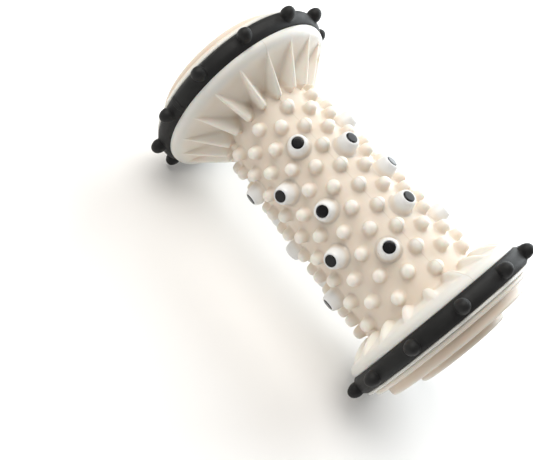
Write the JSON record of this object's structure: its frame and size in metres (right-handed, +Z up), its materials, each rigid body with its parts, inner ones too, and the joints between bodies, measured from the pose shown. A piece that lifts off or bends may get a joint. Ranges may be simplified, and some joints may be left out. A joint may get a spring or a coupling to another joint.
{
  "type": "foot massage roller",
  "caption": "Hand-sized massage roller: conical nubbed barrel with magnet cups between two ribbed flanges, knobbed rubber rings round the rims, stepped end caps.",
  "frame": {"origin": "centre of the roller, on its axis, midway between the two traction rings", "axes": "+Y along the roller's axis towards the thicker end of the barrel, +Z up with the roller resting on its lowest ring knobs, +X completes a right-handed frame"},
  "size_m": [0.0948, 0.1608, 0.0948],
  "materials": {
    "shell": "satin",
    "cap": "satin",
    "rim": "satin",
    "cup": "satin",
    "rubber": "matte",
    "magnet": "polished",
    "core": "plain"
  },
  "bodies": {
    "root": {"shell_front": "shell", "shell_back": "shell", "core_tube": "core", "rim_ring_left": "rim", "rim_ring_right": "rim", "end_cap_left": "cap", "end_cap_right": "cap", "traction_ring_left": "rubber", "traction_ring_right": "rubber", "magnet_cup_1": "cup", "magnet_cup_2": "cup", "magnet_cup_3": "cup", "magnet_cup_4": "cup", "magnet_cup_5": "cup", "magnet_cup_6": "cup", "magnet_cup_7": "cup", "magnet_cup_8": "cup", "magnet_cup_9": "cup", "magnet_cup_10": "cup", "magnet_cup_11": "cup", "magnet_cup_12": "cup", "magnet_cup_13": "cup", "magnet_cup_14": "cup", "magnet_cup_15": "cup", "magnet_cup_16": "cup", "magnet_cup_17": "cup", "magnet_cup_18": "cup", "magnet_cup_19": "cup", "magnet_cup_20": "cup", "magnet_1": "magnet", "magnet_2": "magnet", "magnet_3": "magnet", "magnet_4": "magnet", "magnet_5": "magnet", "magnet_6": "magnet", "magnet_7": "magnet", "magnet_8": "magnet", "magnet_9": "magnet", "magnet_10": "magnet", "magnet_11": "magnet", "magnet_12": "magnet", "magnet_13": "magnet", "magnet_14": "magnet", "magnet_15": "magnet", "magnet_16": "magnet", "magnet_17": "magnet", "magnet_18": "magnet", "magnet_19": "magnet", "magnet_20": "magnet"}
  },
  "joints": []
}
